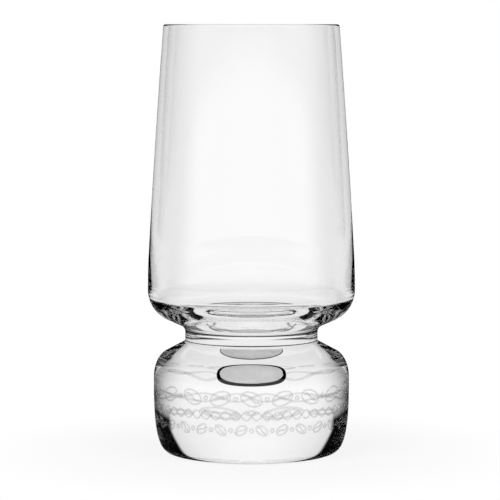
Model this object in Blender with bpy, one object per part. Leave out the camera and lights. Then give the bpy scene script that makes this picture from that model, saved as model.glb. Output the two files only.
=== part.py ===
"""Espresso glass: a tapering bowl on a short, thick stem, set in a heavy clear foot.

The three glass pieces are turned about the Z axis from their half profiles. Each profile is a list of
(radius, height) points that starts and ends on the axis. The glass stands on Z = 0, in metres.
"""

import math

import bmesh
import bpy

MM = 0.001

# Whole glass
HEIGHT = 97.0 * MM
JOINT_GAP = 0.3 * MM  # room left at each fused joint

# Bowl
BOWL_RADIUS = 23.5 * MM  # outside, at the widest place
RIM_RADIUS = 19.85 * MM  # outside, just below the rounded rim
WALL = 0.95 * MM
WALL_BOW = 0.12 * MM  # how far the long side swells from a straight taper
BELLY_REACH = 5.25 * MM  # from the shoulder up to where the straight taper would begin
BOWL_SHOULDER_ROUND = 7.2 * MM
BOWL_UNDERSIDE_RISE = math.radians(24.4)  # slope of the underside, from the stem outwards
FLOOR_THICKNESS = 6.1 * MM  # from the top of the stem to the inside of the bowl
INNER_CORNER_WIDTH = 6.5 * MM
INNER_CORNER_HEIGHT = 5.0 * MM

# Stem
STEM_RADIUS = 15.03 * MM
STEM_LENGTH = 2.05 * MM  # the part that shows between foot and bowl
STEM_FILLET = 1.92 * MM  # between stem and bowl
NECK_FILLET = 0.6 * MM  # between stem and foot
SPIGOT_LENGTH = 8.95 * MM  # the part that sits in the foot
SPIGOT_STEP = 0.5 * MM  # how much narrower that part is
SPIGOT_ROUND = 1.0 * MM

# Foot
FOOT_HEIGHT = 25.3 * MM  # to where the slope of its top would meet the stem
FOOT_RADIUS = 22.28 * MM  # at the shoulder
FOOT_TAPER = 0.62 * MM  # how much narrower the side is just above the lower corner
FOOT_BOW = 0.11 * MM
FOOT_SHOULDER_WIDTH = 3.6 * MM
FOOT_SHOULDER_HEIGHT = 6.0 * MM
FOOT_SHOULDER_FALL = math.radians(28.05)  # slope of the shoulder, from the stem outwards
FOOT_CORNER_WIDTH = 3.38 * MM
FOOT_CORNER_HEIGHT = 5.9 * MM
BEARING_WIDTH = 1.95 * MM  # flat ring that stands on the table
UNDERSIDE_RISE = 2.8 * MM  # height of the hollow under the foot

# Flat air bubble trapped where the spigot meets the foot
POCKET_RADIUS = 5.8 * MM
POCKET_DEPTH = 0.35 * MM  # into the foot, and as much into the spigot

# Facets
SEGMENTS = 64  # round the axis
CHORD_ERROR = 0.03 * MM  # how far a facet of a rounding may lie inside the true curve
WALL_STEPS = 8

# Heights that follow from the sizes above
SOCKET_FLOOR = FOOT_HEIGHT - SPIGOT_LENGTH - JOINT_GAP
SPIGOT_END = FOOT_HEIGHT - SPIGOT_LENGTH
BOWL_BASE = FOOT_HEIGHT + STEM_LENGTH
BOWL_FLOOR = BOWL_BASE + FLOOR_THICKNESS

GLASS_COLOUR = (0.93, 0.96, 0.95, 1.0)
GLASS_ROUGHNESS = 0.03
GLASS_INDEX = 1.52


def ellipse_arc(centre, width, height, start, end):
    """Points on an ellipse about centre, from one angle to another, both ends included."""
    step = 2 * math.acos(1 - CHORD_ERROR / max(width, abs(height)))
    steps = 2 * max(1, math.ceil(abs(end - start) / (2 * step)))  # even, so that the middle is a point
    angles = [start + (end - start) * i / steps for i in range(steps + 1)]
    return [(centre[0] + width * math.cos(a), centre[1] + height * math.sin(a)) for a in angles]


def rounded_corner(corner, arriving, leaving, radius):
    """Arc of the given radius in the corner between two directions, given as angles of travel."""
    turn = leaving - arriving
    reach = radius * math.tan(abs(turn) / 2)
    side = math.copysign(1.0, turn)
    start = (corner[0] - reach * math.cos(arriving), corner[1] - reach * math.sin(arriving))
    to_centre = arriving + side * math.pi / 2
    centre = (start[0] + radius * math.cos(to_centre), start[1] + radius * math.sin(to_centre))
    first = to_centre + math.pi
    return ellipse_arc(centre, radius, radius, first, first + turn)


def shallow_cap(radius, height, rise):
    """Points of a spherical cap from its edge to the axis. A positive rise lifts the middle."""
    sphere = math.copysign((radius**2 + rise**2) / (2 * abs(rise)), rise)
    edge = math.acos(radius / abs(sphere))
    return ellipse_arc((0.0, height + rise - sphere), abs(sphere), sphere, edge, math.pi / 2)


def pocket_face(level, depth):
    """One face of the air bubble, from the axis to its edge. A positive depth cuts upwards."""
    return ellipse_arc((0.0, level), POCKET_RADIUS, depth, math.pi / 2, 0.0)


def bowed(start, end, bow, steps):
    """Points from start to end on a shallow curve that swells outwards by bow at its middle."""
    points = []
    for i in range(steps + 1):
        t = i / steps
        swell = bow * 4 * t * (1 - t)
        points.append((start[0] + (end[0] - start[0]) * t + swell, start[1] + (end[1] - start[1]) * t))
    return points


def bowl_underside():
    """Fillet, sloping underside and shoulder of the bowl, from the stem out to the widest place."""
    turn = math.pi / 2 - BOWL_UNDERSIDE_RISE
    fillet_corner = (STEM_RADIUS, BOWL_BASE + STEM_FILLET * math.tan(turn / 2))
    run = BOWL_RADIUS - STEM_RADIUS
    shoulder_corner = (BOWL_RADIUS, fillet_corner[1] + run * math.tan(BOWL_UNDERSIDE_RISE))
    fillet = rounded_corner(fillet_corner, math.pi / 2, BOWL_UNDERSIDE_RISE, STEM_FILLET)
    shoulder = rounded_corner(shoulder_corner, BOWL_UNDERSIDE_RISE, math.pi / 2, BOWL_SHOULDER_ROUND)
    return fillet + shoulder


def bowl_wall():
    """Outside of the bowl from the widest place up to the rim."""
    belly_start = bowl_underside()[-1][1]
    taper_corner = (BOWL_RADIUS, belly_start + BELLY_REACH)
    rim_edge = (RIM_RADIUS, HEIGHT - WALL / 2)
    lean = math.atan2(rim_edge[1] - taper_corner[1], rim_edge[0] - taper_corner[0])
    belly_round = BELLY_REACH / math.tan((lean - math.pi / 2) / 2)
    belly = rounded_corner(taper_corner, math.pi / 2, lean, belly_round)
    side = bowed(belly[-1], rim_edge, WALL_BOW, WALL_STEPS)
    return belly + side[1:]


def bowl_profile():
    """Round the bowl from the middle of its floor, up the inside, over the rim and down to the stem."""
    outside = bowl_wall()
    corner_top = BOWL_FLOOR + INNER_CORNER_HEIGHT
    inside = [(r - WALL, z) for r, z in outside if z > corner_top]
    inner_corner = ellipse_arc(
        (BOWL_RADIUS - WALL - INNER_CORNER_WIDTH, corner_top),
        INNER_CORNER_WIDTH,
        INNER_CORNER_HEIGHT,
        -math.pi / 2,
        0.0,
    )
    rim_centre = (RIM_RADIUS - WALL / 2, HEIGHT - WALL / 2)
    rim = ellipse_arc(rim_centre, WALL / 2, WALL / 2, math.pi, 0.0)[1:-1]
    underside = bowl_underside()
    return (
        [(0.0, BOWL_FLOOR)]
        + inner_corner
        + inside
        + rim
        + outside[::-1]
        + underside[-2::-1]
        + [(0.0, BOWL_BASE)]
    )


def neck_round():
    """Rounding between foot and stem, from the slope of the foot up to the side of the stem."""
    corner = (STEM_RADIUS, FOOT_HEIGHT)
    return rounded_corner(corner, math.pi - FOOT_SHOULDER_FALL, math.pi / 2, NECK_FILLET)


def stem_profile():
    """Round the stem from the pocket in its lower end, up the spigot and neck and in across its flat top."""
    top = BOWL_BASE - JOINT_GAP
    spigot_radius = STEM_RADIUS - SPIGOT_STEP
    round_centre = (spigot_radius - SPIGOT_ROUND, SPIGOT_END + SPIGOT_ROUND)
    neck = neck_round()
    return (
        pocket_face(SPIGOT_END, POCKET_DEPTH)
        + ellipse_arc(round_centre, SPIGOT_ROUND, SPIGOT_ROUND, -math.pi / 2, 0.0)
        + [(spigot_radius, neck[0][1])]
        + neck
        + [(STEM_RADIUS, top), (0.0, top)]
    )


def foot_shoulder():
    """Rounding of the upper corner of the foot, from the slope of its top to its side."""
    slope = math.tan(FOOT_SHOULDER_FALL)
    start = math.atan2(FOOT_SHOULDER_HEIGHT, FOOT_SHOULDER_WIDTH * slope)
    middle = FOOT_RADIUS - FOOT_SHOULDER_WIDTH
    run = middle + FOOT_SHOULDER_WIDTH * math.cos(start) - STEM_RADIUS
    level = FOOT_HEIGHT - run * slope - FOOT_SHOULDER_HEIGHT * math.sin(start)
    return ellipse_arc((middle, level), FOOT_SHOULDER_WIDTH, FOOT_SHOULDER_HEIGHT, start, 0.0)


def foot_profile():
    """Round the foot from the pocket in its socket, up the socket, over the shoulder and underneath."""
    bore = STEM_RADIUS - SPIGOT_STEP + JOINT_GAP
    bore_round = SPIGOT_ROUND + JOINT_GAP
    seat = neck_round()[0][1] - JOINT_GAP
    seat_edge = STEM_RADIUS + (FOOT_HEIGHT - seat) / math.tan(FOOT_SHOULDER_FALL)
    shoulder = foot_shoulder()
    lower_radius = FOOT_RADIUS - FOOT_TAPER
    side = bowed(shoulder[-1], (lower_radius, FOOT_CORNER_HEIGHT), FOOT_BOW, WALL_STEPS)
    bearing_radius = lower_radius - FOOT_CORNER_WIDTH
    lower_corner = ellipse_arc(
        (bearing_radius, FOOT_CORNER_HEIGHT),
        FOOT_CORNER_WIDTH,
        FOOT_CORNER_HEIGHT,
        0.0,
        -math.pi / 2,
    )
    return (
        pocket_face(SOCKET_FLOOR, -POCKET_DEPTH)
        + ellipse_arc(
            (bore - bore_round, SOCKET_FLOOR + bore_round), bore_round, bore_round, -math.pi / 2, 0.0
        )
        + [(bore, seat), (seat_edge, seat)]
        + shoulder
        + side[1:]
        + lower_corner[1:]
        + shallow_cap(bearing_radius - BEARING_WIDTH, 0.0, UNDERSIDE_RISE)
    )


def clear_glass(name):
    """Clear soda-lime glass."""
    material = bpy.data.materials.new(name)
    material.use_nodes = True
    shader = material.node_tree.nodes["Principled BSDF"]
    shader.inputs["Base Color"].default_value = GLASS_COLOUR
    shader.inputs["Roughness"].default_value = GLASS_ROUGHNESS
    shader.inputs["Metallic"].default_value = 0.0
    shader.inputs["IOR"].default_value = GLASS_INDEX
    shader.inputs["Transmission Weight"].default_value = 1.0
    return material


def turned_piece(name, profile, seat, parent):
    """Turns a profile about the Z axis into one closed piece whose origin is at the height of its seat."""
    work = bmesh.new()
    points = [work.verts.new((r, 0.0, z - seat)) for r, z in profile]
    edges = [work.edges.new(pair) for pair in zip(points, points[1:])]
    bmesh.ops.spin(
        work,
        geom=points + edges,
        axis=(0.0, 0.0, 1.0),
        cent=(0.0, 0.0, 0.0),
        angle=2 * math.pi,
        steps=SEGMENTS,
        use_merge=True,
    )
    bmesh.ops.remove_doubles(work, verts=work.verts, dist=0.001 * MM)
    bmesh.ops.recalc_face_normals(work, faces=work.faces)
    mesh = bpy.data.meshes.new(name)
    work.to_mesh(mesh)
    work.free()
    mesh.shade_smooth()
    mesh.set_sharp_from_angle(angle=math.radians(35))
    mesh.materials.append(clear_glass(name + "_glass"))
    piece = bpy.data.objects.new(name, mesh)
    bpy.context.scene.collection.objects.link(piece)
    piece.parent = parent
    piece.location.z = seat
    return piece


def main():
    for old in list(bpy.data.objects):
        bpy.data.objects.remove(old, do_unlink=True)
    glass = bpy.data.objects.new("espresso_glass", None)
    bpy.context.scene.collection.objects.link(glass)
    turned_piece("foot", foot_profile(), 0.0, glass)
    turned_piece("stem", stem_profile(), SPIGOT_END, glass)
    turned_piece("bowl", bowl_profile(), BOWL_BASE, glass)


main()
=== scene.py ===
"""Clear espresso glass on a white stage, dressed over its CAD frame.

The glass is three turned pieces, bowl, stem and foot, that meet without a gap, as hot-fused glass does.
A band of frosted motifs runs round the foot. Sizes are in metres, Z is up and the glass stands on Z = 0.
"""

import math

import bmesh
import bpy
from bpy.props import FloatProperty, FloatVectorProperty, IntProperty, PointerProperty
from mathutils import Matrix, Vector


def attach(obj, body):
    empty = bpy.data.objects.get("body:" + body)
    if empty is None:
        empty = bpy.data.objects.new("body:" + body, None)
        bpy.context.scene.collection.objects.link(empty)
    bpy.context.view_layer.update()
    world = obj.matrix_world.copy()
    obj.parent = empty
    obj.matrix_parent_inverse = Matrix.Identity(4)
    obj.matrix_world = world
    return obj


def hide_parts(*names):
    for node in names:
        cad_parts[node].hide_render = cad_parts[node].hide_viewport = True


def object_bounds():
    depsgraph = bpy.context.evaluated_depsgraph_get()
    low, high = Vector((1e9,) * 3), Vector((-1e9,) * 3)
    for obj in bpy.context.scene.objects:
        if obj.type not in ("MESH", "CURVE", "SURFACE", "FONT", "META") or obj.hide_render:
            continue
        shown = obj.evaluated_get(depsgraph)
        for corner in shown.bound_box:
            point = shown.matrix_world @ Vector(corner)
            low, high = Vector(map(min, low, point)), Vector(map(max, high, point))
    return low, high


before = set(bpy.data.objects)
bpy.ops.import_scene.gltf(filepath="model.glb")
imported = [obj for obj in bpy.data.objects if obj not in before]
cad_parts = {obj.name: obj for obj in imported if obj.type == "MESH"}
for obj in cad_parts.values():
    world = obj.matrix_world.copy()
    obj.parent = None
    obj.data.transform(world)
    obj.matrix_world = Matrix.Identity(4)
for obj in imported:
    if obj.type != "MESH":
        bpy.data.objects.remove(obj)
CAD_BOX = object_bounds()

bl_info = {
    "name": "Espresso Glass",
    "version": (1, 0, 0),
    "blender": (4, 5, 0),
    "location": "3D View > Sidebar > Espresso Glass",
    "description": "Builds a clear espresso glass with a frosted band, on a white stage",
    "category": "Add Mesh",
}

# Material slots of a turned piece.
CLEAR, FUSED, POCKET, RIM = 0, 1, 2, 3
FINE = math.radians(1.5)  # step along a rounding

# A frosted line's middle stands this share of its depth out of the glass.
LINE_LIFT = 0.6

TABLE_GAP = 0.00005  # keeps the tabletop's face apart from the bearing ring's
LAMP_AIM = 0.05  # height on the glass that the lamps point at

# Distances from the glass over which the table's shadow, and the painted shadow that darkens the table as
# seen through the glass, fade out.
SHADOW_REACH = (0.02, 0.07)
SHADOW_SHARE = 0.12
PAINTED_SHADOW_REACH = (0.03, 0.17)
PAINTED_SHADOW_SHARE = 0.12

# Soft edges in the room, in degrees: downwards from level, or sideways from the middle of the screen.
HORIZON_DROP = (3.8, 7.4)
NEAR_TABLE_DROP = (28.0, 40.0)
STEEP = (8.0, 20.0)
BEHIND_CAMERA = (135.0, 158.0)
PANEL_SIDE = (80.0, 115.0)
PANEL_TOP = (12.0, 17.0)
LOW_PANEL_DROP = 12.0
LOW_PANEL_TOP = (5.0, 8.0)


def length(name, description, default):
    """A size in metres that a user may change."""
    return FloatProperty(
        name=name, description=description, default=default, min=0.0, precision=5, unit="LENGTH"
    )


def angle(name, description, default):
    """An angle given in degrees."""
    return FloatProperty(
        name=name, description=description, default=math.radians(default), subtype="ANGLE"
    )


def power(name, description, default):
    """How square a rounding is: 2 is an ellipse, more is squarer."""
    return FloatProperty(name=name, description=description, default=default, min=1.0)


def amount(name, description, default):
    """A plain number, such as a brightness, where 1 is white."""
    return FloatProperty(name=name, description=description, default=default, min=0.0)


def colour(name, description, default):
    """A colour with its alpha."""
    return FloatVectorProperty(name=name, description=description, default=default, size=4, subtype="COLOR")


class GlassShape(bpy.types.PropertyGroup):
    """Sizes of the three turned pieces."""

    height: length("Height", "From the table to the rim", CAD_BOX[1][2])
    bowl_radius: length("Bowl radius", "Outside, at the widest place", CAD_BOX[1][0])
    rim_radius: length("Rim radius", "Outside, just below the rounded rim", 0.01985)
    wall: length("Wall", "Thickness of the bowl's side", 0.00095)
    wall_swell: length("Wall swell", "How much thicker the side is at the bottom of the bowl", 0.0010)
    wall_swell_reach: length("Wall swell reach", "Height over which the side thins to the plain wall", 0.0200)
    wall_bow: length("Wall bow", "How far the long side swells from a straight taper", 0.00012)
    belly_reach: length("Belly reach", "From the shoulder to where a straight taper would begin", 0.00525)
    bowl_shoulder_round: length("Bowl shoulder round", "Radius at the bowl's lower corner", 0.0072)
    bowl_underside_rise: angle("Bowl underside rise", "Slope of the bowl's underside", 24.4)
    floor_thickness: length("Floor thickness", "From the stem's top to the inside of the bowl", 0.0022)
    inner_corner_width: length("Inner corner width", "Rounding inside the bowl, across", 0.0222)
    inner_corner_height: length("Inner corner height", "Rounding inside the bowl, upwards", 0.0062)
    inner_corner_power: power("Inner corner power", "Squareness of the rounding inside the bowl", 1.66)
    stem_radius: length("Stem radius", "Radius of the short stem", 0.01503)
    stem_length: length("Stem length", "The part that shows between foot and bowl", 0.00205)
    stem_fillet: length("Stem fillet", "Rounding between stem and bowl", 0.00192)
    neck_fillet: length("Neck fillet", "Rounding between stem and foot", 0.0006)
    spigot_step: length("Spigot step", "How much narrower the stem is inside the foot", 0.0005)
    spigot_length: length("Spigot length", "The part of the stem that is fused into the foot", 0.0093)
    spigot_round: length("Spigot round", "Rounding of the spigot's lower edge", 0.0010)
    foot_height: length("Foot height", "From the table to where the foot's slope would meet the stem", 0.0253)
    foot_radius: length("Foot radius", "At the foot's shoulder", 0.0222)
    foot_shoulder_width: length("Foot shoulder width", "Rounding of the upper corner, across", 0.0036)
    foot_shoulder_height: length("Foot shoulder height", "Rounding of the upper corner, upwards", 0.0060)
    foot_shoulder_fall: angle("Foot shoulder fall", "Slope of the foot's top", 28.05)
    foot_side_width: length("Foot side width", "From the shoulder in to the bearing ring", 0.0045)
    foot_side_power: power("Foot side power", "Squareness of the curve from the shoulder to the table", 3.0)
    bearing_width: length("Bearing width", "Flat ring that stands on the table", 0.00195)
    underside_rise: length("Underside rise", "Height of the hollow under the foot", 0.0028)
    pocket_radius: length("Pocket radius", "Radius of the flat air pocket in the foot", 0.00545)
    pocket_depth: length("Pocket depth", "Half the thickness of the air pocket", 0.00014)
    segments: IntProperty(name="Segments", description="Facets round the axis", default=256, min=32)


class GlassLook(bpy.types.PropertyGroup):
    """Colours and finish of the glass and of the frosted band."""

    tint: colour("Tint", "Colour of the clear glass", (0.998, 1.0, 0.999, 1.0))
    index: amount("Index", "Refractive index of the glass", 1.52)
    pocket_haze: amount("Pocket haze", "Greatest roughness of the air pocket's faces", 0.5)
    frost: colour("Frost", "Colour of the frosted motifs", (0.75, 0.75, 0.75, 1.0))
    frost_cover: amount("Frost cover", "How much each side of a frosted line hides", 0.25)


class BandLayout(bpy.types.PropertyGroup):
    """Sizes and counts of the frosted motifs."""

    beans: IntProperty(name="Beans", description="Large beans round the foot", default=20, min=3)
    bean_length: length("Bean length", "Length of a large bean", 0.0048)
    bean_row: length("Bean row", "Height of the large beans above the table", 0.0150)
    waves: IntProperty(name="Waves", description="Waves round the foot", default=30, min=3)
    wave_height: length("Wave height", "How far a wave swings from its middle", 0.0009)
    wave_row: length("Wave row", "Height of the waves above the table", 0.0112)
    seeds: IntProperty(name="Seeds", description="Small beans round the foot", default=30, min=3)
    seed_length: length("Seed length", "Length of a small bean", 0.0029)
    seed_row: length("Seed row", "Height of the small beans above the table", 0.0080)
    dot_radius: length("Dot radius", "Radius of the small rings between the beans", 0.0004)
    line_width: length("Line width", "Width of a frosted line", 0.00042)
    line_depth: length("Line depth", "How far a frosted line stands out", 0.00002)


class StageLook(bpy.types.PropertyGroup):
    """Camera and light of the white stage."""

    camera_distance: length("Camera distance", "From the glass's axis to the camera", 0.5894)
    camera_aside: length("Camera aside", "How far the camera stands to the left of the axis", 0.00032)
    camera_tilt: angle("Camera tilt", "How far the camera looks down", 4.946)
    lens: amount("Lens", "Focal length in millimetres, on a 36 mm sensor", 187.8)
    table_radius: length("Table radius", "Radius of the tabletop", 2.0)
    tent_radius: length("Tent radius", "From the glass to the studio tent's wall", 0.65)
    screen_reach: angle("Screen reach", "Half width of the lit screen behind the glass", 41.0)
    screen_edge: angle("Screen edge", "Width of the screen's soft edge", 5.0)
    screen_level: amount("Screen level", "Brightness of the screen at its middle", 1.0)
    screen_lean: amount("Screen lean", "How much the screen narrows upwards", 0.8)
    screen_fall: amount("Screen fall", "How much the screen dims towards its edge", 0.18)
    table_reach: angle("Table reach", "Where the table behind the glass begins to dim sideways", 28.0)
    table_end: angle("Table end", "Where the table has dimmed at the sides", 84.0)
    table_level: amount("Table level", "Brightness of the table behind the glass", 1.0)
    near_level: amount("Near level", "Brightness of the table close to the glass", 1.0)
    dark_level: amount("Dark level", "Brightness of the table at the sides", 0.025)
    front_level: amount("Front level", "Brightness of the room behind the camera", 0.02)


class NodeDesk:
    """Adds nodes to a tree and wires their inputs, so that a tree reads from top to bottom."""

    def __init__(self, tree):
        self.tree = tree

    def add(self, kind, inputs=None, **settings):
        node = self.tree.nodes.new(kind)
        for key, value in settings.items():
            setattr(node, key, value)
        for key, value in (inputs or {}).items():
            if isinstance(value, bpy.types.NodeSocket):
                self.tree.links.new(value, node.inputs[key])
            else:
                node.inputs[key].default_value = value
        return node

    def math(self, operation, first, second=0.0):
        return self.add("ShaderNodeMath", {0: first, 1: second}, operation=operation).outputs[0]

    def vector(self, x=0.0, y=0.0, z=0.0):
        return self.add("ShaderNodeCombineXYZ", {0: x, 1: y, 2: z}).outputs[0]

    def join(self, *pieces):
        """All the given geometry in one."""
        node = self.add("GeometryNodeJoinGeometry")
        for piece in pieces:
            self.tree.links.new(piece, node.inputs[0])
        return node.outputs[0]

    def blend(self, share, first, second):
        """First where share is 0, second where it is 1."""
        node = self.add("ShaderNodeMix", data_type="FLOAT")
        for key, value in (("Factor_Float", share), ("A_Float", first), ("B_Float", second)):
            socket = next(s for s in node.inputs if s.identifier == key)
            if isinstance(value, bpy.types.NodeSocket):
                self.tree.links.new(value, socket)
            else:
                socket.default_value = value
        return next(s for s in node.outputs if s.identifier == "Result_Float")

    def fade(self, value, start, end):
        """1 below start, 0 above end and smooth between."""
        node = self.add(
            "ShaderNodeMapRange",
            {"Value": value, "From Min": start, "From Max": end, "To Min": 1.0, "To Max": 0.0},
            interpolation_type="SMOOTHSTEP",
        )
        return node.outputs[0]


def ellipse_arc(centre, width, height, start, end, power=2.0):
    """Points on an ellipse, both ends included. A power above 2 makes it squarer, below 2 more pointed."""
    steps = max(3, math.ceil(abs(end - start) / FINE))
    points = []
    for i in range(steps + 1):
        a = start + (end - start) * i / steps
        across, up = (math.copysign(abs(v) ** (2.0 / power), v) for v in (math.cos(a), math.sin(a)))
        points.append((centre[0] + width * across, centre[1] + height * up))
    return points


def rounded_corner(corner, arriving, leaving, radius):
    """Arc of the given radius in the corner between two directions, given as angles of travel."""
    turn = leaving - arriving
    reach = radius * math.tan(abs(turn) / 2)
    start = (corner[0] - reach * math.cos(arriving), corner[1] - reach * math.sin(arriving))
    to_centre = arriving + math.copysign(math.pi / 2, turn)
    centre = (start[0] + radius * math.cos(to_centre), start[1] + radius * math.sin(to_centre))
    first = to_centre + math.pi
    return ellipse_arc(centre, radius, radius, first, first + turn)


def shallow_cap(radius, height, rise):
    """Points of a spherical cap from its edge to the axis. A positive rise lifts the middle."""
    sphere = math.copysign((radius**2 + rise**2) / (2 * abs(rise)), rise)
    edge = math.acos(radius / abs(sphere))
    points = ellipse_arc((0.0, height + rise - sphere), abs(sphere), sphere, edge, math.pi / 2)
    return points[:-1] + [(0.0, height + rise)]


def bowed(start, end, bow, steps=24):
    """Points from start to end on a shallow curve that swells outwards by bow at its middle."""
    points = []
    for i in range(steps + 1):
        t = i / steps
        swell = bow * 4 * t * (1 - t)
        points.append((start[0] + (end[0] - start[0]) * t + swell, start[1] + (end[1] - start[1]) * t))
    return points


def bowl_base(shape):
    """Height of the joint between stem and bowl."""
    return shape.foot_height + shape.stem_length


def spigot_end(shape):
    """Height of the joint between the stem's spigot and the floor of its socket."""
    return shape.foot_height - shape.spigot_length


def foot_side(shape):
    """The rounded shoulder, which runs on from the foot's slope, and the side down to the bearing ring."""
    width, height = shape.foot_shoulder_width, shape.foot_shoulder_height
    slope = math.tan(shape.foot_shoulder_fall)
    start = math.atan2(height, width * slope)
    middle = shape.foot_radius - width
    top = shape.foot_height - (middle + width * math.cos(start) - shape.stem_radius) * slope
    shoulder = ellipse_arc((middle, top - height * math.sin(start)), width, height, start, 0.0)
    level = shoulder[-1][1]
    side_width = shape.foot_side_width
    bearing = shape.foot_radius - side_width
    side = ellipse_arc((bearing, level), side_width, level, 0.0, -math.pi / 2, shape.foot_side_power)
    return shoulder, side


def bowl_runs(shape):
    """The bowl's profile: clear from its floor's middle over the rim to the stem, then the fused joint."""
    base = bowl_base(shape)
    rise = shape.bowl_underside_rise
    fillet_corner = (shape.stem_radius, base + shape.stem_fillet * math.tan((math.pi / 2 - rise) / 2))
    run = shape.bowl_radius - shape.stem_radius
    shoulder_corner = (shape.bowl_radius, fillet_corner[1] + run * math.tan(rise))
    fillet = rounded_corner(fillet_corner, math.pi / 2, rise, shape.stem_fillet)
    shoulder = rounded_corner(shoulder_corner, rise, math.pi / 2, shape.bowl_shoulder_round)

    taper_corner = (shape.bowl_radius, shoulder[-1][1] + shape.belly_reach)
    rim_edge = (shape.rim_radius, shape.height - shape.wall / 2)
    lean = math.atan2(rim_edge[1] - taper_corner[1], rim_edge[0] - taper_corner[0])
    belly_round = shape.belly_reach / math.tan((lean - math.pi / 2) / 2)
    belly = rounded_corner(taper_corner, math.pi / 2, lean, belly_round)
    outside = belly + bowed(belly[-1], rim_edge, shape.wall_bow)[1:]

    floor = base + shape.floor_thickness
    corner_top = floor + shape.inner_corner_height

    def inner_radius(r, z):
        near = max(0.0, 1.0 - (z - corner_top) / shape.wall_swell_reach)
        return r - shape.wall - shape.wall_swell * near**2

    side = shoulder + outside[1:]
    inside = [(inner_radius(r, z), z) for r, z in side if z > corner_top]
    width = min(shape.inner_corner_width, 0.99 * inside[0][0])
    height = shape.inner_corner_height
    power = shape.inner_corner_power
    slant = 2.0 * shape.wall_swell / shape.wall_swell_reach
    end = -math.atan((slant * height / width) ** (0.5 * power / (power - 1.0)))
    dish = ellipse_arc((0.0, corner_top), width, height, -math.pi / 2, end, power)
    shift = inside[0][0] - slant * (corner_top - dish[-1][1]) - dish[-1][0]
    inner_corner = [(r + shift, z) for r, z in dish]
    rim_centre = (shape.rim_radius - shape.wall / 2, shape.height - shape.wall / 2)
    rim = ellipse_arc(rim_centre, shape.wall / 2, shape.wall / 2, math.pi, 0.0)[1:-1]
    clear = [(0.0, floor)] + inner_corner + inside + rim + outside[::-1] + shoulder[-2::-1] + fillet[::-1]
    return [(clear, CLEAR), ([clear[-1], (0.0, base)], FUSED)]


def neck_round(shape):
    """The rounding between foot and stem, from the foot's slope up to the stem's side."""
    corner = (shape.stem_radius, shape.foot_height)
    return rounded_corner(corner, math.pi - shape.foot_shoulder_fall, math.pi / 2, shape.neck_fillet)


def pocket_runs(shape, side):
    """Flat face and rounded rim of the thin air pocket. Side is 1 for the roof, -1 for the floor."""
    end = spigot_end(shape)
    depth = shape.pocket_depth
    # The rim takes the RIM slot, whose material is painted near-black as painted shade.
    rim = ellipse_arc((shape.pocket_radius - depth, end), depth, side * depth, math.pi / 2, 0.0)
    return [([(0.0, rim[0][1]), rim[0]], POCKET), (rim, RIM)]


def spigot_joint(shape):
    """The fused joint between spigot and socket, from the pocket's edge to the neck's rounding."""
    end = spigot_end(shape)
    lip = neck_round(shape)[0]
    radius = shape.stem_radius - shape.spigot_step
    centre = (radius - shape.spigot_round, end + shape.spigot_round)
    edge = ellipse_arc(centre, shape.spigot_round, shape.spigot_round, -math.pi / 2, 0.0)
    return [(shape.pocket_radius, end)] + edge + [(radius, lip[1]), lip]


def stem_runs(shape):
    """The stem's profile: pocket roof, fused spigot, clear neck and the fused joint with the bowl."""
    top = bowl_base(shape)
    neck = neck_round(shape) + [(shape.stem_radius, top)]
    return pocket_runs(shape, 1) + [
        (spigot_joint(shape), FUSED),
        (neck, CLEAR),
        ([neck[-1], (0.0, top)], FUSED),
    ]


def foot_runs(shape):
    """The foot's profile: pocket floor, fused socket, then the clear shoulder, side, corner and underside."""
    shoulder, side = foot_side(shape)
    underside = shallow_cap(side[-1][0] - shape.bearing_width, 0.0, shape.underside_rise)
    clear = [neck_round(shape)[0]] + shoulder + side[1:] + underside
    return pocket_runs(shape, -1) + [(spigot_joint(shape), FUSED), (clear, CLEAR)]


def turned_piece(name, runs, segments, materials):
    """Turns runs of (radius, height) points about the Z axis. Edges between runs are sharp."""
    work = bmesh.new()
    turns = [2 * math.pi * i / segments for i in range(segments)]
    spokes = [(math.cos(turn), math.sin(turn)) for turn in turns]

    def ring(point):
        r, z = point
        if r < 1e-7:
            return [work.verts.new((0.0, 0.0, z))] * segments
        return [work.verts.new((r * c, r * s, z)) for c, s in spokes]

    last = ring(runs[0][0][0])
    for points, slot in runs:
        first = last
        for point in points[1:]:
            new = ring(point)
            for i in range(segments):
                j = (i + 1) % segments
                corners = dict.fromkeys((last[i], last[j], new[j], new[i]))
                face = work.faces.new(list(corners))
                face.material_index = slot
                face.smooth = True
            last = new
        if first[0] is not first[1]:
            for i in range(segments):
                work.edges.get((first[i], first[(i + 1) % segments])).smooth = False
    bmesh.ops.recalc_face_normals(work, faces=work.faces)
    mesh = bpy.data.meshes.new(name)
    work.to_mesh(mesh)
    work.free()
    for material in materials:
        mesh.materials.append(material)
    piece = bpy.data.objects.new(name, mesh)
    bpy.context.scene.collection.objects.link(piece)
    return piece


def clear_glass(name, look, haze=(0.0, 0.012)):
    """Clear glass, as uneven as a fire-polished surface is. Haze is its least and greatest roughness."""
    material = bpy.data.materials.new(name)
    material.use_nodes = True
    desk = NodeDesk(material.node_tree)
    shader = material.node_tree.nodes["Principled BSDF"]
    shader.inputs["Base Color"].default_value = look.tint
    shader.inputs["IOR"].default_value = look.index
    shader.inputs["Transmission Weight"].default_value = 1.0
    place = desk.add("ShaderNodeTexCoord").outputs["Object"]
    ripple = desk.add("ShaderNodeTexNoise", {"Vector": place, "Scale": 90.0, "Detail": 2.0})
    bump = desk.add("ShaderNodeBump", {"Height": ripple.outputs["Fac"], "Strength": 0.03, "Distance": 0.0002})
    cloud = desk.add("ShaderNodeTexNoise", {"Vector": place, "Scale": 400.0, "Detail": 3.0})
    grade = {"Value": cloud.outputs["Fac"], "To Min": haze[0], "To Max": haze[1]}
    rough = desk.add("ShaderNodeMapRange", grade)
    material.node_tree.links.new(bump.outputs["Normal"], shader.inputs["Normal"])
    material.node_tree.links.new(rough.outputs[0], shader.inputs["Roughness"])
    return material


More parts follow.
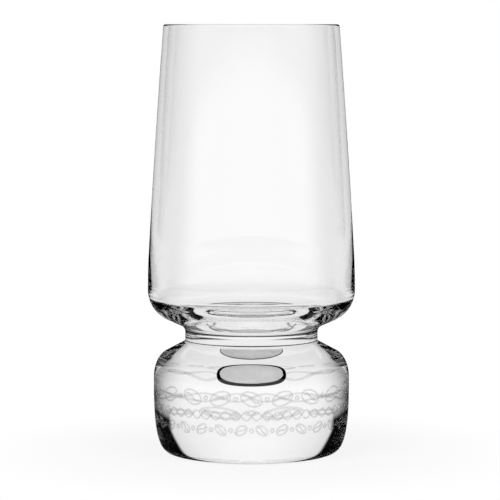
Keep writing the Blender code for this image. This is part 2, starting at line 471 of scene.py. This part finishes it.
def fused_joint():
    """Inner faces where two pieces have melted into one: nothing to see there."""
    material = bpy.data.materials.get("fused_joint")
    if material is None:
        material = bpy.data.materials.new("fused_joint")
        material.use_nodes = True
        shader = material.node_tree.nodes["Principled BSDF"]
        shader.inputs["Base Color"].default_value = (1.0, 1.0, 1.0, 1.0)
        shader.inputs["Alpha"].default_value = 0.0
    return material


def pocket_rim_painted_shade():
    """Rim of the air pocket, painted near-black as painted shade for the dark that the real rim shows where
    it throws the light aside.
    """
    material = bpy.data.materials.get("pocket_rim_painted_shade")
    if material is None:
        material = bpy.data.materials.new("pocket_rim_painted_shade")
        material.use_nodes = True
        desk = NodeDesk(material.node_tree)
        shader = material.node_tree.nodes["Principled BSDF"]
        # Painted shade: no reflection and a near-black colour, with slight random variation, make the rim
        # dark.
        shader.inputs["Specular IOR Level"].default_value = 0.0
        place = desk.add("ShaderNodeTexCoord").outputs["Object"]
        cloud = desk.add("ShaderNodeTexNoise", {"Vector": place, "Scale": 500.0, "Detail": 2.0})
        ramp = desk.add("ShaderNodeValToRGB", {"Fac": cloud.outputs["Fac"]})
        ramp.color_ramp.elements[0].color = (0.001, 0.001, 0.001, 1.0)
        ramp.color_ramp.elements[1].color = (0.012, 0.012, 0.012, 1.0)
        material.node_tree.links.new(ramp.outputs["Color"], shader.inputs["Base Color"])
    return material


def pocketed_glass(name, pocket, look):
    """Materials of a piece that closes the air pocket, in the order of its slots."""
    haze = (0.6 * look.pocket_haze, look.pocket_haze)
    return [clear_glass(name, look), fused_joint(), clear_glass(pocket, look, haze), pocket_rim_painted_shade()]


def frosting(look):
    """Sandblasted glass: pale, matt and half see-through, with a fine grain."""
    material = bpy.data.materials.new("frosting")
    material.use_nodes = True
    desk = NodeDesk(material.node_tree)
    shader = material.node_tree.nodes["Principled BSDF"]
    shader.inputs["Alpha"].default_value = look.frost_cover
    shader.inputs["IOR"].default_value = 1.2
    shader.inputs["Transmission Weight"].default_value = 0.7
    place = desk.add("ShaderNodeTexCoord").outputs["Object"]
    grain = desk.add("ShaderNodeTexNoise", {"Vector": place, "Scale": 5000.0, "Detail": 4.0})
    ramp = desk.add("ShaderNodeValToRGB", {"Fac": grain.outputs["Fac"]})
    ramp.color_ramp.elements[0].color = [c * 0.85 for c in look.frost[:3]] + [1.0]
    ramp.color_ramp.elements[1].color = look.frost
    rough = desk.add("ShaderNodeMapRange", {"Value": grain.outputs["Fac"], "To Min": 0.6, "To Max": 0.9})
    bump = desk.add("ShaderNodeBump", {"Height": grain.outputs["Fac"], "Strength": 0.3, "Distance": 0.00002})
    material.node_tree.links.new(ramp.outputs["Color"], shader.inputs["Base Color"])
    material.node_tree.links.new(rough.outputs[0], shader.inputs["Roughness"])
    material.node_tree.links.new(bump.outputs["Normal"], shader.inputs["Normal"])
    return material


def circle_curve(desk, radius, points):
    """A closed ring of points."""
    ring = {"Resolution": points, "Radius": radius}
    return desk.add("GeometryNodeCurvePrimitiveCircle", ring, mode="RADIUS").outputs[0]


def bean_curves(desk, size):
    """Outline of a coffee bean with its winding crease, lying along X. It is drawn 1 long and then sized."""
    outline = circle_curve(desk, 0.5, 36)
    flat = desk.add("GeometryNodeTransform", {"Geometry": outline, "Scale": (1.0, 0.62, 1.0)})
    crease = desk.add(
        "GeometryNodeCurvePrimitiveBezierSegment",
        {
            "Resolution": 16,
            "Start": (-0.42, 0.0, 0.0),
            "Start Handle": (-0.1, 0.3, 0.0),
            "End Handle": (0.1, -0.3, 0.0),
            "End": (0.42, 0.0, 0.0),
        },
    )
    both = desk.join(flat.outputs[0], crease.outputs[0])
    scale = desk.vector(size, size, size)
    return desk.add("GeometryNodeTransform", {"Geometry": both, "Scale": scale}).outputs[0]


def frosted_lines(desk, curves, width):
    """Round cords of the given width along curves."""
    profile = circle_curve(desk, desk.math("DIVIDE", width, 2.0), 8)
    return desk.add("GeometryNodeCurveToMesh", {"Curve": curves, "Profile Curve": profile}).outputs[0]


def motif_row(desk, motif, count, around, height, shift=0.0, tilt=0.0):
    """Copies of a motif on a straight row as long as the foot is round. They lean to and fro in turn."""
    pitch = desk.math("DIVIDE", around, count)
    start = desk.vector(desk.math("MULTIPLY", pitch, shift), height)
    row = {"Count": count, "Start Location": start, "Offset": desk.vector(pitch)}
    line = desk.add("GeometryNodeMeshLine", row, mode="OFFSET")
    index = desk.add("GeometryNodeInputIndex").outputs[0]
    side = desk.math("SUBTRACT", desk.math("MULTIPLY", desk.math("MODULO", index, 2.0), 2.0), 1.0)
    turn = desk.add("FunctionNodeEulerToRotation", {0: desk.vector(z=desk.math("MULTIPLY", side, tilt))})
    copies = {"Points": line.outputs[0], "Instance": motif, "Rotation": turn.outputs[0]}
    return desk.add("GeometryNodeInstanceOnPoints", copies).outputs[0]


def wave_curve(desk, count, around, swing, height):
    """One line of waves as long as the foot is round."""
    line = desk.add("GeometryNodeCurvePrimitiveLine", {"End": desk.vector(around)})
    points = desk.math("ADD", desk.math("MULTIPLY", count, 16.0), 1.0)
    even = desk.add("GeometryNodeResampleCurve", {"Curve": line.outputs[0], "Count": points})
    place = desk.add("GeometryNodeInputPosition").outputs[0]
    along = desk.add("ShaderNodeSeparateXYZ", {0: place}).outputs["X"]
    full_turn = desk.math("MULTIPLY", count, 2 * math.pi)
    phase = desk.math("MULTIPLY", desk.math("DIVIDE", along, around), full_turn)
    lift = desk.math("ADD", desk.math("MULTIPLY", desk.math("SINE", phase), swing), height)
    wavy = {"Geometry": even.outputs[0], "Offset": desk.vector(y=lift)}
    return desk.add("GeometryNodeSetPosition", wavy).outputs[0]


def wrapped(desk, layout, given):
    """Bends a flat layout round the foot: X runs round, Y up the side and Z out of the glass."""
    place = desk.add("GeometryNodeInputPosition").outputs[0]
    flat = desk.add("ShaderNodeSeparateXYZ", {0: place}).outputs
    turn = desk.math("DIVIDE", flat["X"], given["Foot Radius"])
    shoulder = given["Shoulder Level"]
    below = desk.math("DIVIDE", desk.math("SUBTRACT", shoulder, flat["Y"]), shoulder)
    square = desk.math("SUBTRACT", 1.0, desk.math("POWER", below, given["Side Power"]))
    bulge = desk.math("POWER", square, desk.math("DIVIDE", 1.0, given["Side Power"]))
    inset = desk.math("MULTIPLY", desk.math("SUBTRACT", bulge, 1.0), given["Side Width"])
    thin = desk.math("DIVIDE", given["Line Depth"], given["Line Width"])
    lift = desk.math("MULTIPLY", given["Line Depth"], LINE_LIFT)
    proud = desk.math("ADD", desk.math("MULTIPLY", flat["Z"], thin), lift)
    radius = desk.math("ADD", desk.math("ADD", given["Foot Radius"], inset), proud)
    across = desk.math("MULTIPLY", radius, desk.math("SINE", turn))
    forward = desk.math("MULTIPLY", radius, desk.math("MULTIPLY", desk.math("COSINE", turn), -1.0))
    around = desk.vector(across, forward, flat["Y"])
    return desk.add("GeometryNodeSetPosition", {"Geometry": layout, "Position": around}).outputs[0]


def band_tree(inputs):
    """Nodes of the frosted band: rows of beans, rings and waves, laid out flat and wrapped round the foot."""
    tree = bpy.data.node_groups.new("frosted_band", "GeometryNodeTree")
    kinds = {float: "NodeSocketFloat", int: "NodeSocketInt", bpy.types.Material: "NodeSocketMaterial"}
    for name, value in inputs.items():
        tree.interface.new_socket(name, in_out="INPUT", socket_type=kinds[type(value)])
    tree.interface.new_socket("Geometry", in_out="OUTPUT", socket_type="NodeSocketGeometry")
    desk = NodeDesk(tree)
    given = desk.add("NodeGroupInput").outputs
    width = given["Line Width"]
    around = desk.math("MULTIPLY", given["Foot Radius"], 2 * math.pi)

    bean = frosted_lines(desk, bean_curves(desk, given["Bean Length"]), width)
    seed = frosted_lines(desk, bean_curves(desk, given["Seed Length"]), width)
    dot = frosted_lines(desk, circle_curve(desk, given["Dot Radius"], 20), width)
    against = desk.math("MULTIPLY", given["Wave Height"], -1.0)
    waves = [
        frosted_lines(desk, wave_curve(desk, given["Waves"], around, swing, given["Wave Row"]), width)
        for swing in (given["Wave Height"], against)
    ]
    rows = [
        motif_row(desk, bean, given["Beans"], around, given["Bean Row"], tilt=0.35),
        motif_row(desk, dot, given["Beans"], around, given["Bean Row"], shift=0.5),
        motif_row(desk, seed, given["Seeds"], around, given["Seed Row"], shift=0.5, tilt=0.6),
        motif_row(desk, dot, given["Seeds"], around, given["Seed Row"]),
    ]
    layout = desk.add("GeometryNodeRealizeInstances", {0: desk.join(*rows, *waves)}).outputs[0]
    band = wrapped(desk, layout, given)
    band = desk.add("GeometryNodeMergeByDistance", {"Geometry": band, "Distance": 1e-6}).outputs[0]
    band = desk.add("GeometryNodeSetShadeSmooth", {"Geometry": band}).outputs[0]
    band = desk.add("GeometryNodeSetMaterial", {"Geometry": band, "Material": given["Frosting"]}).outputs[0]
    desk.add("NodeGroupOutput", {0: band})
    return tree


def grown_mesh(name, inputs):
    """Mesh made by the band's nodes with the given inputs."""
    tree = band_tree(inputs)
    holder = bpy.data.objects.new(name, bpy.data.meshes.new(name))
    bpy.context.scene.collection.objects.link(holder)
    modifier = holder.modifiers.new("grow", "NODES")
    modifier.node_group = tree
    for socket in tree.interface.items_tree:
        if socket.in_out == "INPUT":
            modifier[socket.identifier] = inputs[socket.name]
    holder.update_tag()
    bpy.context.view_layer.update()
    mesh = bpy.data.meshes.new_from_object(holder.evaluated_get(bpy.context.evaluated_depsgraph_get()))
    holder.modifiers.remove(modifier)
    mesh.name = name
    holder.data = mesh
    return holder


def stage_floor(radius):
    """White tabletop. The camera sees white with a faint shadow; the glass sees the backdrop through it,
    darkened near the glass by a painted shadow.
    """
    work = bmesh.new()
    bmesh.ops.create_circle(work, cap_ends=True, segments=96, radius=radius)
    mesh = bpy.data.meshes.new("tabletop")
    work.to_mesh(mesh)
    work.free()
    material = bpy.data.materials.new("tabletop")
    material.use_nodes = True
    tree = material.node_tree
    tree.nodes.clear()
    desk = NodeDesk(tree)
    path = desk.add("ShaderNodeLightPath").outputs
    place = desk.add("ShaderNodeTexCoord").outputs["Object"]
    away = desk.add("ShaderNodeVectorMath", {0: place}, operation="LENGTH").outputs["Value"]
    near = desk.math("MULTIPLY", desk.fade(away, *SHADOW_REACH), SHADOW_SHARE)
    lit = desk.add("ShaderNodeBsdfDiffuse", {"Color": (0.95, 0.95, 0.95, 1.0)}).outputs[0]
    white = desk.add("ShaderNodeEmission", {"Color": (1.0, 1.0, 1.0, 1.0), "Strength": 1.0}).outputs[0]
    seen = desk.add("ShaderNodeMixShader", {0: near, 1: white, 2: lit}).outputs[0]
    surface = desk.add("ShaderNodeMixShader", {0: path["Is Camera Ray"], 1: lit, 2: seen})
    # Painted shadow: seen through the glass, the table is tinted darker close to the glass.
    dim = desk.math("SUBTRACT", 1.0, desk.math("MULTIPLY", desk.fade(away, *PAINTED_SHADOW_REACH), PAINTED_SHADOW_SHARE))
    painted_shadow_grey = desk.add("ShaderNodeCombineColor", {0: dim, 1: dim, 2: dim}).outputs[0]
    through = desk.add("ShaderNodeBsdfTransparent", {"Color": painted_shadow_grey})
    by_glass = desk.math("MAXIMUM", path["Is Glossy Ray"], path["Is Transmission Ray"])
    final = desk.add("ShaderNodeMixShader", {0: by_glass, 1: surface.outputs[0], 2: through.outputs[0]})
    desk.add("ShaderNodeOutputMaterial", {"Surface": final.outputs[0]})
    mesh.materials.append(material)
    floor = bpy.data.objects.new("tabletop", mesh)
    bpy.context.scene.collection.objects.link(floor)
    floor.location.z = -TABLE_GAP
    return floor


def room_light(desk, stage):
    """How bright the room is in each direction: a white screen and table behind the glass, and dark sides.

    White panels stand round the camera, a level one for what the glass mirrors and a low one for light that
    comes back through the glass.
    """

    def soft(value, edges):
        """Fade between edges in degrees."""
        return desk.fade(value, *(math.radians(edge) for edge in edges))

    place = desk.add("ShaderNodeTexCoord").outputs["Object"]
    aim = desk.add("ShaderNodeVectorMath", {0: place}, operation="NORMALIZE").outputs["Vector"]
    axes = desk.add("ShaderNodeSeparateXYZ", {0: aim}).outputs
    turn = desk.math("ABSOLUTE", desk.math("ARCTAN2", axes["X"], axes["Y"]))
    rise = desk.math("ARCSINE", axes["Z"])
    drop = desk.math("MULTIPLY", rise, -1.0)
    tilt = desk.math("ABSOLUTE", rise)

    lean = desk.math("MULTIPLY", desk.math("MAXIMUM", rise, 0.0), stage.screen_lean)
    aside = desk.math("ADD", turn, lean)
    outward = desk.math("POWER", desk.math("DIVIDE", aside, stage.screen_reach), 2.0)
    lit = desk.math("SUBTRACT", stage.screen_level, desk.math("MULTIPLY", outward, stage.screen_fall))
    edge = desk.fade(aside, stage.screen_reach, stage.screen_reach + stage.screen_edge)
    screen = desk.math("MULTIPLY", edge, lit)

    sideways = desk.fade(turn, stage.table_reach, stage.table_end)
    far = desk.blend(sideways, stage.dark_level, stage.table_level)
    table = desk.blend(soft(drop, NEAR_TABLE_DROP), stage.near_level, far)
    back = desk.blend(soft(drop, HORIZON_DROP), table, screen)

    behind = desk.math("SUBTRACT", 1.0, soft(turn, BEHIND_CAMERA))
    steep = desk.math("SUBTRACT", 1.0, soft(tilt, STEEP))
    front = desk.math("MULTIPLY", desk.math("MULTIPLY", behind, stage.front_level), steep)

    facing = desk.math("SUBTRACT", 1.0, soft(turn, PANEL_SIDE))
    panel = desk.math("MULTIPLY", facing, soft(tilt, PANEL_TOP))
    off_low = desk.math("ABSOLUTE", desk.math("SUBTRACT", drop, math.radians(LOW_PANEL_DROP)))
    low_panel = desk.math("MULTIPLY", facing, soft(off_low, LOW_PANEL_TOP))

    path = desk.add("ShaderNodeLightPath").outputs
    not_through = desk.math("SUBTRACT", 1.0, path["Is Transmission Ray"])
    mirrored = desk.math("MULTIPLY", path["Is Glossy Ray"], not_through)
    room = desk.math("MAXIMUM", desk.math("MAXIMUM", back, front), low_panel)
    return desk.math("MAXIMUM", desk.blend(mirrored, room, panel), path["Is Camera Ray"])


def stage_backdrop(stage, camera):
    """Studio tent round the glass, which turns with the camera and is white to it."""
    work = bmesh.new()
    bmesh.ops.create_uvsphere(work, u_segments=48, v_segments=24, radius=stage.tent_radius)
    mesh = bpy.data.meshes.new("backdrop")
    work.to_mesh(mesh)
    work.free()
    material = bpy.data.materials.new("backdrop")
    material.use_nodes = True
    tree = material.node_tree
    tree.nodes.clear()
    desk = NodeDesk(tree)
    light = room_light(desk, stage)
    glow = desk.add("ShaderNodeEmission", {"Color": (1.0, 1.0, 1.0, 1.0), "Strength": light})
    desk.add("ShaderNodeOutputMaterial", {"Surface": glow.outputs[0]})
    material.cycles.emission_sampling = "NONE"
    mesh.materials.append(material)
    backdrop = bpy.data.objects.new("backdrop", mesh)
    bpy.context.scene.collection.objects.link(backdrop)
    backdrop.parent = camera
    backdrop.location = (0.0, 0.0, -stage.camera_distance)
    backdrop.rotation_euler = (stage.camera_tilt - math.pi / 2, 0.0, 0.0)
    backdrop.visible_shadow = False
    return backdrop


def stage_lamp(name, place, width, power):
    """Soft square lamp aimed at the glass, which lights matt surfaces and casts the shadow."""
    lamp = bpy.data.lights.new(name, "AREA")
    lamp.size = width
    lamp.energy = power
    holder = bpy.data.objects.new(name, lamp)
    bpy.context.scene.collection.objects.link(holder)
    holder.location = place
    x, y, z = place
    holder.rotation_euler = (math.atan2(math.hypot(x, y), z - LAMP_AIM), 0.0, math.atan2(y, x) + math.pi / 2)
    holder.visible_glossy = False
    holder.visible_transmission = False
    return holder


def settle(piece, slot, *nodes):
    """Ties a finished piece to the frame."""
    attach(piece, "root")
    if nodes:
        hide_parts(*nodes)


class ESPRESSO_OT_bowl(bpy.types.Operator):
    """Turn the thin bowl with its thick floor"""

    bl_idname = "espresso.bowl"
    bl_label = "Bowl"

    def execute(self, context):
        scene = context.scene
        materials = [clear_glass("bowl_glass", scene.glass_look), fused_joint()]
        shape = scene.glass_shape
        piece = turned_piece("glass_bowl", bowl_runs(shape), shape.segments, materials)
        settle(piece, "bowl_glass", "bowl")
        return {"FINISHED"}


class ESPRESSO_OT_stem(bpy.types.Operator):
    """Turn the short stem and its spigot, which is fused into the foot"""

    bl_idname = "espresso.stem"
    bl_label = "Stem"

    def execute(self, context):
        scene = context.scene
        materials = pocketed_glass("stem_glass", "pocket_roof", scene.glass_look)
        shape = scene.glass_shape
        piece = turned_piece("glass_stem", stem_runs(shape), shape.segments, materials)
        settle(piece, "stem_glass", "stem")
        return {"FINISHED"}


class ESPRESSO_OT_foot(bpy.types.Operator):
    """Turn the heavy foot round the air pocket"""

    bl_idname = "espresso.foot"
    bl_label = "Foot"

    def execute(self, context):
        scene = context.scene
        materials = pocketed_glass("foot_glass", "pocket_floor", scene.glass_look)
        shape = scene.glass_shape
        piece = turned_piece("glass_foot", foot_runs(shape), shape.segments, materials)
        settle(piece, "foot_glass", "foot")
        return {"FINISHED"}


class ESPRESSO_OT_band(bpy.types.Operator):
    """Lay the frosted beans, rings and waves round the foot"""

    bl_idname = "espresso.band"
    bl_label = "Frosted Band"

    def execute(self, context):
        scene = context.scene
        shape = scene.glass_shape
        layout = scene.band_layout
        inputs = {
            "Foot Radius": shape.foot_radius,
            "Shoulder Level": foot_side(shape)[1][0][1],
            "Side Width": shape.foot_side_width,
            "Side Power": shape.foot_side_power,
            "Beans": layout.beans,
            "Bean Length": layout.bean_length,
            "Bean Row": layout.bean_row,
            "Waves": layout.waves,
            "Wave Height": layout.wave_height,
            "Wave Row": layout.wave_row,
            "Seeds": layout.seeds,
            "Seed Length": layout.seed_length,
            "Seed Row": layout.seed_row,
            "Dot Radius": layout.dot_radius,
            "Line Width": layout.line_width,
            "Line Depth": layout.line_depth,
            "Frosting": frosting(scene.glass_look),
        }
        settle(grown_mesh("frosted_band", inputs), "foot_glass")
        return {"FINISHED"}


class ESPRESSO_OT_stage(bpy.types.Operator):
    """Set up the tabletop, the backdrop, the lamps and the camera"""

    bl_idname = "espresso.stage"
    bl_label = "Stage"

    def execute(self, context):
        scene = context.scene
        stage = scene.stage_look
        lens = bpy.data.cameras.new("camera")
        lens.sensor_width = 36.0
        lens.lens = stage.lens
        lens.clip_start = 0.01
        camera = bpy.data.objects.new("camera", lens)
        scene.collection.objects.link(camera)
        camera.location = (-stage.camera_aside, -stage.camera_distance, scene.glass_shape.height)
        camera.rotation_euler = (math.pi / 2 - stage.camera_tilt, 0.0, 0.0)
        scene.camera = camera
        stage_floor(stage.table_radius)
        stage_backdrop(stage, camera)
        stage_lamp("key_lamp", place=(-0.5, -0.6, 0.8), width=0.5, power=5.0)
        stage_lamp("fill_lamp", place=(0.6, -0.5, 0.6), width=0.5, power=3.0)
        world = bpy.data.worlds.new("studio")
        scene.world = world
        world.use_nodes = True
        world.node_tree.nodes["Background"].inputs["Color"].default_value = (1.0, 1.0, 1.0, 1.0)
        scene.view_settings.view_transform = "Standard"
        scene.cycles.max_bounces = 24
        scene.cycles.transmission_bounces = 24
        scene.cycles.glossy_bounces = 24
        scene.cycles.transparent_max_bounces = 48
        return {"FINISHED"}


class ESPRESSO_PT_panel(bpy.types.Panel):
    """Sizes, finishes and steps of the espresso glass"""

    bl_idname = "ESPRESSO_PT_panel"
    bl_label = "Espresso Glass"
    bl_space_type = "VIEW_3D"
    bl_region_type = "UI"
    bl_category = "Espresso Glass"

    def draw(self, context):
        layout = self.layout
        for name in GROUPS:
            group = getattr(context.scene, name)
            column = layout.column(align=True)
            for key in group.__annotations__:
                column.prop(group, key)
        for step in STEPS:
            layout.operator(step.bl_idname)


GROUPS = {
    "glass_shape": GlassShape,
    "glass_look": GlassLook,
    "band_layout": BandLayout,
    "stage_look": StageLook,
}
STEPS = (ESPRESSO_OT_bowl, ESPRESSO_OT_stem, ESPRESSO_OT_foot, ESPRESSO_OT_band, ESPRESSO_OT_stage)


def register():
    for name, group in GROUPS.items():
        bpy.utils.register_class(group)
        setattr(bpy.types.Scene, name, PointerProperty(type=group))
    for step in STEPS:
        bpy.utils.register_class(step)
    bpy.utils.register_class(ESPRESSO_PT_panel)


def unregister():
    bpy.utils.unregister_class(ESPRESSO_PT_panel)
    for step in reversed(STEPS):
        bpy.utils.unregister_class(step)
    for name, group in GROUPS.items():
        delattr(bpy.types.Scene, name)
        bpy.utils.unregister_class(group)


def main():
    register()
    bpy.ops.espresso.bowl()
    bpy.ops.espresso.stem()
    bpy.ops.espresso.foot()
    bpy.ops.espresso.band()
    bpy.ops.espresso.stage()


if __name__ == "__main__":
    main()
